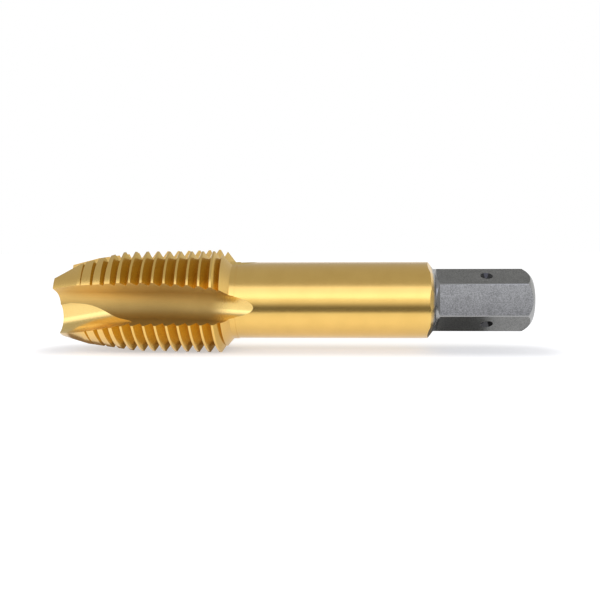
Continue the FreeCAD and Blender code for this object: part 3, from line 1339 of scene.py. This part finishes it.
@dataclass(frozen=True)
class Floor:
    """A plain pale floor, which keeps the tap's shadow. Its glow fades below the tap, which paints a darker
    contact shadow there.
    """

    size: float = 6.0
    drop: float = 0.00003
    albedo: float = 0.60
    glow: float = 0.73
    painted_shadow_glow: float = 0.46
    painted_shadow_reach: tuple[float, float] = (0.004, 0.020)

    def build(self) -> None:
        """Make the floor."""
        half = self.size / 2
        nodes = sheet("floor", level_corners(-half, half, -half, half, -self.drop))[1]
        paper = nodes.add("ShaderNodeBsdfDiffuse", {"Color": (self.albedo,) * 3 + (1.0,)}).outputs[0]
        distance = self.distance_from_tap(nodes)
        # Less glow near the line below the tap paints a contact shadow there.
        strength = nodes.ramp(distance, *self.painted_shadow_reach, self.painted_shadow_glow, self.glow)
        glow = nodes.glow(WHITE, nodes.math("MULTIPLY", self.seen_share(nodes), strength))
        nodes.finish(nodes.add("ShaderNodeAddShader", {0: paper, 1: glow}).outputs[0])

    def distance_from_tap(self, nodes: Nodes) -> bpy.types.NodeSocket:
        """Distance on the floor from the line below the tap's axis, in metres."""
        x, y, _ = nodes.split(nodes.place())
        half_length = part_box(NODE)[1].x
        beyond = nodes.math("MAXIMUM", nodes.math("SUBTRACT", nodes.math("ABSOLUTE", x), half_length), 0.0)
        offset = nodes.add("ShaderNodeCombineXYZ", {0: beyond, 1: y}).outputs[0]
        return nodes.add("ShaderNodeVectorMath", {0: offset}, operation="LENGTH").outputs["Value"]

    def seen_share(self, nodes: Nodes) -> bpy.types.NodeSocket:
        """One for rays from the camera and for what metal or glass shows, and zero for the rest."""
        path = nodes.add("ShaderNodeLightPath").outputs
        shown = nodes.math("MAXIMUM", path["Is Camera Ray"], path["Is Glossy Ray"])
        return nodes.math("MAXIMUM", shown, path["Is Transmission Ray"])


@dataclass(frozen=True)
class Surround:
    """White round the horizon and grey overhead, with a white background for the camera."""

    low: float = 1.0
    high: float = 0.50
    grade_start: float = 12.0
    grade_end: float = 34.0

    def build(self) -> None:
        """Make the world. Its grade runs between two elevations in degrees."""
        world = bpy.data.worlds.new("surround")
        world.use_nodes = True
        bpy.context.scene.world = world
        nodes = Nodes(world.node_tree)
        up = nodes.split(nodes.add("ShaderNodeTexCoord").outputs["Generated"])[2]
        level = nodes.ramp(up, sine(self.grade_start), sine(self.grade_end), self.low, self.high)
        camera = nodes.add("ShaderNodeLightPath").outputs["Is Camera Ray"]
        strength = nodes.math("MAXIMUM", level, camera)
        back = nodes.add("ShaderNodeBackground", {"Color": WHITE, "Strength": strength}).outputs[0]
        nodes.finish(back, "ShaderNodeOutputWorld")


@dataclass(frozen=True)
class Softbox:
    """A rectangular lamp above and in front of the tap. Its radiance is 1 where its face is white."""

    place: tuple[float, float, float] = (0.0, -0.50, 0.275)
    target: tuple[float, float, float] = (0.0, 0.0, 0.014)
    size: tuple[float, float] = (1.5, 0.37)
    radiance: float = 0.95
    tint: tuple[float, float, float] = (0.96, 1.0, 1.30)

    def build(self) -> None:
        """Make the lamp."""
        data = bpy.data.lights.new("front_softbox", "AREA")
        data.shape = "RECTANGLE"
        data.size, data.size_y = self.size
        data.energy = self.radiance * math.pi * self.size[0] * self.size[1]
        data.color = self.tint
        lamp = linked("front_softbox", data)
        lamp.location = self.place
        toward = Vector(self.target) - Vector(self.place)
        lamp.rotation_euler = toward.to_track_quat("-Z", "Y").to_euler()


@dataclass(frozen=True)
class PaintedReflectionFlag:
    """A low card in front of the tap, seen only in the metal's reflections, whose glow paints a dark
    reflected line along the metal.
    """

    left: float = -0.032
    right: float = 0.30
    distance: float = 0.037
    low: float = 0.0004
    grade_start: float = 0.0105
    high: float = 0.0180
    dark: float = 0.16
    pale: float = 0.85

    def build(self) -> None:
        """Make the card, which glows dark below and pale along its upper edge as a painted reflection."""
        front = -self.distance
        nodes = card("painted_reflection_card", [(self.left, front, self.low), (self.right, front, self.low),
                                     (self.right, front, self.high), (self.left, front, self.high)])
        height = nodes.split(nodes.place())[2]
        # Dark glow low down and pale glow along the top edge paint a dark reflected line with a pale rim.
        tone = nodes.ramp(height, self.grade_start, self.high, self.dark, self.pale)
        nodes.finish(nodes.glow(WHITE, tone))


@dataclass(frozen=True)
class PaintedShadeCard:
    """A dark glowing card on the floor, seen only in the metal's reflections, that paints shade onto the
    lower side of the metal above it.
    """

    name: str
    left: float
    right: float
    front: float
    back: float
    colour: Colour
    height: float = 0.0002

    def build(self) -> None:
        """Make the card."""
        nodes = card(self.name, level_corners(self.left, self.right, self.front, self.back, self.height))
        # The card glows in its dark colour and only reflections see it: painted shade.
        nodes.finish(nodes.glow(self.colour, 1.0))


@dataclass
class Studio:
    """A plain pale floor, a white surround, a softbox, and the cards that paint dark lines and shade into the
    metal's reflections.
    """

    floor: Floor = Floor()
    surround: Surround = Surround()
    softbox: Softbox = Softbox()
    painted_line_flag: PaintedReflectionFlag = PaintedReflectionFlag()
    # Two cards that paint shade into the reflections on the lower side of the drive and of the thread; the
    # thread's one is warm brown.
    drive_painted_shade: PaintedShadeCard = PaintedShadeCard("drive_painted_shade", left=0.0515, right=0.0715, front=-0.016, back=0.040,
                                         colour=(0.14, 0.14, 0.14, 1.0))
    thread_painted_shade: PaintedShadeCard = PaintedShadeCard("thread_painted_shade", left=-0.088, right=-0.027, front=-0.007, back=0.040,
                                          colour=(0.26, 0.18, 0.10, 1.0))

    def build(self) -> None:
        """Make every part of the studio."""
        for part in (self.floor, self.surround, self.softbox, self.painted_line_flag, self.drive_painted_shade, self.thread_painted_shade):
            part.build()


def main() -> None:
    """Build the camera, the studio and the tap, and report the camera and the tap."""
    logging.basicConfig(level=logging.INFO, format="%(name)s: %(message)s")
    bpy.context.scene.view_settings.view_transform = "Standard"
    tap = ThreadTap()
    camera = PhotoCamera().build(tap.axis_height * MM)
    log.info("camera: %s, %.1f mm lens", camera.name, camera.data.lens)
    Studio().build()
    piece = tap.build()
    log.info("tap: %d triangles, axis %.3f mm above the floor", len(piece.data.polygons), tap.axis_height)


if __name__ == "__main__":
    main()
